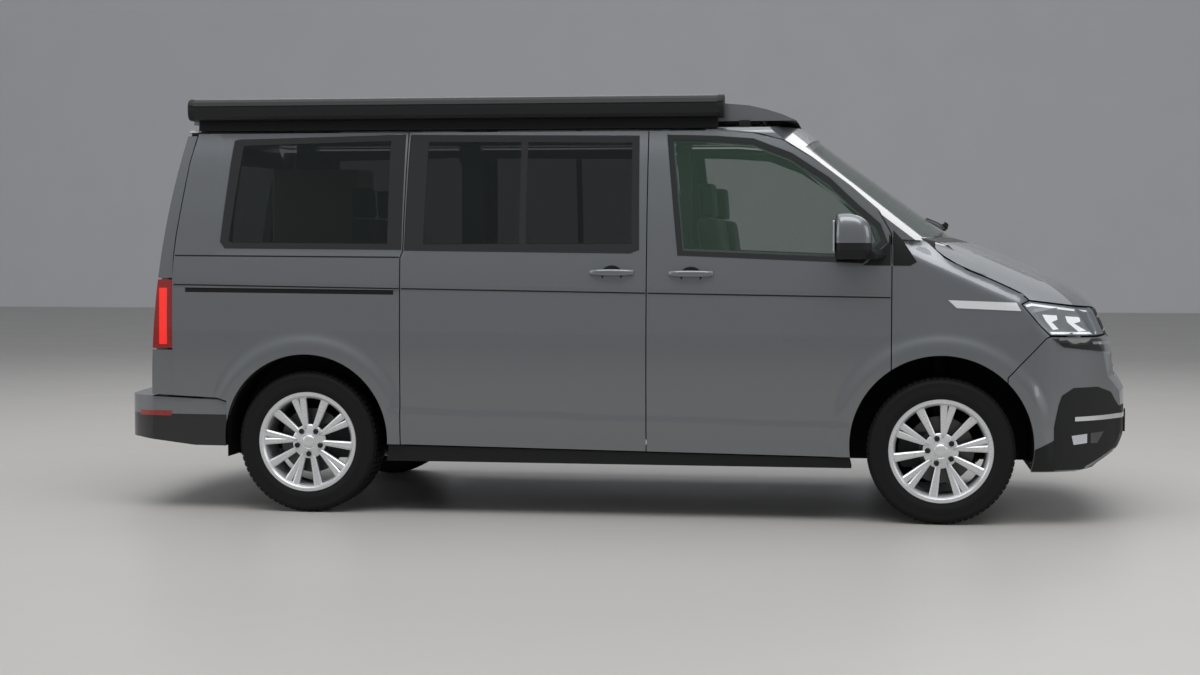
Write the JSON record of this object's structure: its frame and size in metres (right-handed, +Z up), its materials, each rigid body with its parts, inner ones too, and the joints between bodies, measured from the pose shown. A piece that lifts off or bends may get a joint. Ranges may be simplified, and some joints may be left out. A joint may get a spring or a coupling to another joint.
{
  "type": "camper van",
  "caption": "Two-axle camper van with front doors, sliding side door, tailgate, bonnet, rear-hinged pop-up roof, side awning and steered front wheels.",
  "frame": {"origin": "on the ground, under the middle of the overall box", "axes": "+X forward, +Y the van's left, +Z up"},
  "size_m": [4.9038, 2.297, 1.99],
  "materials": {
    "body_paint": "metallic gloss",
    "glass": "tinted",
    "dark_glass": "dark tinted",
    "lamp_clear": "clear",
    "lamp_red": "clear red",
    "black_plastic": "fine grain",
    "awning_case": "black powder coat",
    "steel": "black underseal",
    "engine": "cast",
    "tank": "moulded",
    "exhaust": "dull",
    "seat_fabric": "woven",
    "furniture": "laminate",
    "canvas": "pleated canvas",
    "tyre": "rubber",
    "alloy": "silver lacquer"
  },
  "bodies": {
    "body": {"body_frame": "body_paint", "quarter_panel_right": "body_paint", "side_panel_left": "body_paint", "sliding_door": "body_paint", "sliding_door_glass": "dark_glass", "quarter_glass_right": "dark_glass", "side_glass_left": "dark_glass", "windscreen": "glass", "front_wing_left": "body_paint", "front_wing_right": "body_paint", "cowl": "black_plastic", "headlamps": "lamp_clear", "tail_lamps": "lamp_red", "grille": "black_plastic", "plate_carrier": "black_plastic", "front_bumper": "body_paint", "rear_bumper": "body_paint", "sills": "black_plastic", "floor_pan": "steel", "chassis_rails": "steel", "chassis_members": "steel", "bumper_towers": "steel", "wheel_housings": "black_plastic", "engine_block": "engine", "fuel_tank": "tank", "exhaust": "exhaust", "front_subframe": "steel", "front_struts": "steel", "rear_axle": "steel", "dashboard": "black_plastic", "steering_wheel": "black_plastic", "front_seats": "seat_fabric", "rear_bench": "seat_fabric", "kitchen_unit": "furniture", "rear_cupboard": "furniture", "awning": "awning_case", "roof_catch": "black_plastic", "roof_bellows": "canvas"},
    "door_left": {"front_door_left": "body_paint", "front_door_glass_left": "glass", "mirror_left": "body_paint"},
    "door_right": {"front_door_right": "body_paint", "front_door_glass_right": "glass", "mirror_right": "body_paint"},
    "tailgate": {"tailgate": "body_paint", "tailgate_glass": "dark_glass"},
    "bonnet": {"bonnet": "body_paint"},
    "pop_up_roof": {"pop_up_roof": "body_paint"},
    "knuckle_left": {"knuckle_left": "steel"},
    "knuckle_right": {"knuckle_right": "steel"},
    "wheel_front_left": {"tyre_front_left": "tyre", "rim_front_left": "alloy"},
    "wheel_front_right": {"tyre_front_right": "tyre", "rim_front_right": "alloy"},
    "wheel_rear_left": {"tyre_rear_left": "tyre", "rim_rear_left": "alloy"},
    "wheel_rear_right": {"tyre_rear_right": "tyre", "rim_rear_right": "alloy"}
  },
  "joints": [
    {"name": "steer_left", "type": "hinge", "parent": "body", "child": "knuckle_left", "pos_m": [1.542, 0.735, 0.34], "axis": [0, 0, 1], "range_deg": [-33, 33]},
    {"name": "wheel_front_left_spin", "type": "hinge", "parent": "knuckle_left", "child": "wheel_front_left", "pos_m": [1.542, 0.815, 0.34], "axis": [0, 1, 0], "continuous": true},
    {"name": "wheel_rear_left_spin", "type": "hinge", "parent": "body", "child": "wheel_rear_left", "pos_m": [-1.458, 0.815, 0.34], "axis": [0, 1, 0], "continuous": true},
    {"name": "door_left_hinge", "type": "hinge", "parent": "body", "child": "door_left", "pos_m": [1.283, 0.945, 1], "axis": [0, 0, -1], "range_deg": [0, 68]},
    {"name": "steer_right", "type": "hinge", "parent": "body", "child": "knuckle_right", "pos_m": [1.542, -0.735, 0.34], "axis": [0, 0, 1], "range_deg": [-33, 33]},
    {"name": "wheel_front_right_spin", "type": "hinge", "parent": "knuckle_right", "child": "wheel_front_right", "pos_m": [1.542, -0.815, 0.34], "axis": [0, 1, 0], "continuous": true},
    {"name": "wheel_rear_right_spin", "type": "hinge", "parent": "body", "child": "wheel_rear_right", "pos_m": [-1.458, -0.815, 0.34], "axis": [0, 1, 0], "continuous": true},
    {"name": "door_right_hinge", "type": "hinge", "parent": "body", "child": "door_right", "pos_m": [1.283, -0.945, 1], "axis": [0, 0, 1], "range_deg": [0, 68]},
    {"name": "tailgate_hinge", "type": "hinge", "parent": "body", "child": "tailgate", "pos_m": [-2.095, 0, 1.866], "axis": [0, 1, 0], "range_deg": [0, 85]},
    {"name": "bonnet_hinge", "type": "hinge", "parent": "body", "child": "bonnet", "pos_m": [1.5, 0, 1.32], "axis": [0, -1, 0], "range_deg": [0, 50]},
    {"name": "roof_hinge", "type": "hinge", "parent": "body", "child": "pop_up_roof", "pos_m": [-2.08, 0, 1.868], "axis": [0, -1, 0], "range_deg": [0, 24], "deforming": ["roof_bellows"]}
  ],
  "couplings": [
    {"joint": "steer_right", "follows": "steer_left", "ratio": 1}
  ]
}
